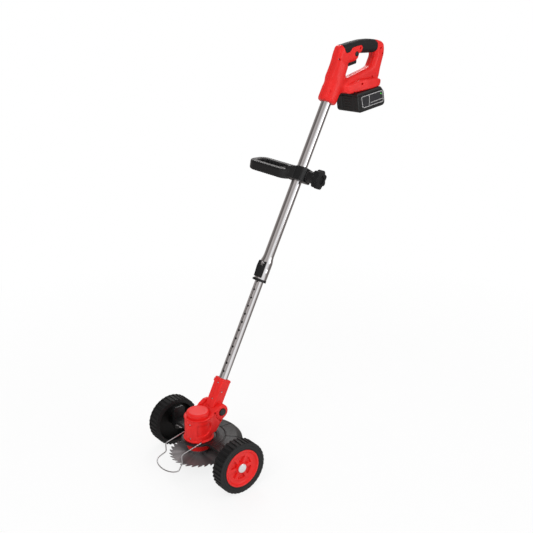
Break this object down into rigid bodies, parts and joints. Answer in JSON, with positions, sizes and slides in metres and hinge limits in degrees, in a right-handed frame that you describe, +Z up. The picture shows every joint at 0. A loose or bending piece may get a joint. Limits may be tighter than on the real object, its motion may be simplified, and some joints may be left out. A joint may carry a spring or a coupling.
{
  "type": "lawn edger",
  "caption": "Battery lawn edger on two wheels: toothed blade under a tilting motor head, telescopic pole, loop handle, closed D-handle over a slide-on battery.",
  "frame": {"origin": "on the ground under the middle of the whole machine's box", "axes": "+X across the wheels to the operator's left, +Y to the rear where the handle leans, +Z up"},
  "size_m": [0.3238, 0.7114, 1.029],
  "materials": {
    "red_plastic": "moulded, slightly glossy",
    "black_plastic": "moulded, fine texture",
    "soft_grip": "soft overmould",
    "tyre_black": "moulded wheel, satin",
    "chromed_steel": "bright plated",
    "plain_steel": "zinc plated or machined",
    "blade_steel": "ground, radial",
    "copper_winding": "lacquered wire",
    "white_cap": "satin pale",
    "panel_dark": "dark badge plate, bare",
    "green_light": "clear green lens",
    "cell_wrap": "shrink wrap"
  },
  "bodies": {
    "head": {"head_shell_left": "red_plastic", "head_shell_right": "red_plastic", "motor_cap": "red_plastic", "housing_screws": "plain_steel", "motor_can": "plain_steel", "spindle_bearings": "plain_steel", "spindle_ring": "red_plastic", "guard_shield": "black_plastic", "wheel_arm_left": "black_plastic", "wheel_arm_right": "black_plastic", "axle_left": "plain_steel", "axle_right": "plain_steel", "wing_nuts": "plain_steel", "pivot_pin": "plain_steel", "button_spring": "plain_steel"},
    "rotor": {"spindle": "plain_steel", "armature": "copper_winding", "blade_flange": "black_plastic", "saw_blade": "blade_steel", "blade_nut": "plain_steel"},
    "left_wheel": {"wheel_left": "tyre_black", "hub_cover_left": "red_plastic", "hub_cap_left": "white_cap"},
    "right_wheel": {"wheel_right": "tyre_black", "hub_cover_right": "red_plastic", "hub_cap_right": "white_cap"},
    "front_guard": {"wire_guard": "plain_steel"},
    "pivot_lock": {"pivot_button": "black_plastic"},
    "lower_pole": {"neck_shell_left": "red_plastic", "neck_shell_right": "red_plastic", "neck_screws": "plain_steel", "lower_tube": "chromed_steel", "tube_bush": "black_plastic", "motor_lead": "black_plastic"},
    "upper_pole": {"upper_tube": "chromed_steel", "collar_sleeve": "chromed_steel", "collar_ring": "black_plastic", "latch_pin": "plain_steel", "latch_spring": "plain_steel", "handle_shell_left": "red_plastic", "handle_shell_right": "red_plastic", "grip_cover": "soft_grip", "handle_screws": "plain_steel", "switch_body": "black_plastic", "terminal_block": "black_plastic", "handle_lead": "black_plastic", "trigger_spring": "plain_steel"},
    "latch": {"latch_lever": "black_plastic"},
    "trigger_lever": {"trigger": "black_plastic"},
    "lock": {"lock_button": "black_plastic"},
    "battery": {"battery_case": "black_plastic", "battery_lid": "black_plastic", "battery_panel": "panel_dark", "charge_light": "green_light", "battery_cells": "cell_wrap"},
    "release": {"release_button": "red_plastic"},
    "liner": {"clamp_liner": "black_plastic"},
    "loop": {"loop_handle": "black_plastic", "clamp_cap": "black_plastic"},
    "knob": {"star_knob": "black_plastic"}
  },
  "joints": [
    {"name": "left_wheel_spin", "type": "hinge", "parent": "head", "child": "left_wheel", "pos_m": [0.1445, -0.22721, 0.065], "axis": [1, 0, 0], "continuous": true},
    {"name": "right_wheel_spin", "type": "hinge", "parent": "head", "child": "right_wheel", "pos_m": [-0.1445, -0.22721, 0.065], "axis": [1, 0, 0], "continuous": true},
    {"name": "blade_spin", "type": "hinge", "parent": "head", "child": "rotor", "pos_m": [0, -0.24321, 0.065], "axis": [0, 0, 1], "continuous": true},
    {"name": "head_tilt", "type": "hinge", "parent": "head", "child": "lower_pole", "pos_m": [0, -0.19105, 0.14739], "axis": [-1, 0, 0], "range_deg": [0, 60]},
    {"name": "pivot_button_press", "type": "slide", "parent": "head", "child": "pivot_lock", "axis": [-1, 0, 0], "range_m": [0, 0.004], "stiffness_N_per_m": 800, "springref_m": -0.002},
    {"name": "guard_flip", "type": "hinge", "parent": "head", "child": "front_guard", "pos_m": [0, -0.26021, 0.0885], "axis": [-1, 0, 0], "range_deg": [0, 95]},
    {"name": "pole_telescope", "type": "slide", "parent": "lower_pole", "child": "upper_pole", "axis": [0, 0.4485, 0.8938], "range_m": [-0.2398, 0]},
    {"name": "latch_open", "type": "hinge", "parent": "upper_pole", "child": "latch", "pos_m": [0.00596, -0.04375, 0.50221], "axis": [-0.9455, -0.291, 0.146], "range_deg": [0, 22], "stiffness_Nm_per_rad": 0.3, "springref_deg": -20.05},
    {"name": "trigger_pull", "type": "hinge", "parent": "upper_pole", "child": "trigger_lever", "pos_m": [0, 0.24681, 0.98472], "axis": [-1, 0, 0], "range_deg": [0, 9], "stiffness_Nm_per_rad": 0.6, "springref_deg": -17.19},
    {"name": "lock_press", "type": "slide", "parent": "upper_pole", "child": "lock", "axis": [-1, 0, 0], "range_m": [0, 0.003], "stiffness_N_per_m": 600, "springref_m": -0.002},
    {"name": "battery_slide", "type": "slide", "parent": "upper_pole", "child": "battery", "axis": [0, 0.9848, 0.1736], "range_m": [0, 0.1]},
    {"name": "release_press", "type": "slide", "parent": "battery", "child": "release", "axis": [0, 0.1736, -0.9848], "range_m": [0, 0.003], "stiffness_N_per_m": 500, "springref_m": -0.002},
    {"name": "clamp_slide", "type": "slide", "parent": "upper_pole", "child": "liner", "axis": [0, 0.4485, 0.8938], "range_m": [-0.15, 0.06]},
    {"name": "loop_turn", "type": "hinge", "parent": "liner", "child": "loop", "pos_m": [0, 0.07941, 0.70905], "axis": [0, 0.4485, 0.8938], "range_deg": [-90, 90]},
    {"name": "knob_turn", "type": "hinge", "parent": "loop", "child": "knob", "pos_m": [0.04782, 0.09247, 0.70249], "axis": [0.9563, 0.2613, -0.1311], "range_deg": [0, 720]}
  ]
}
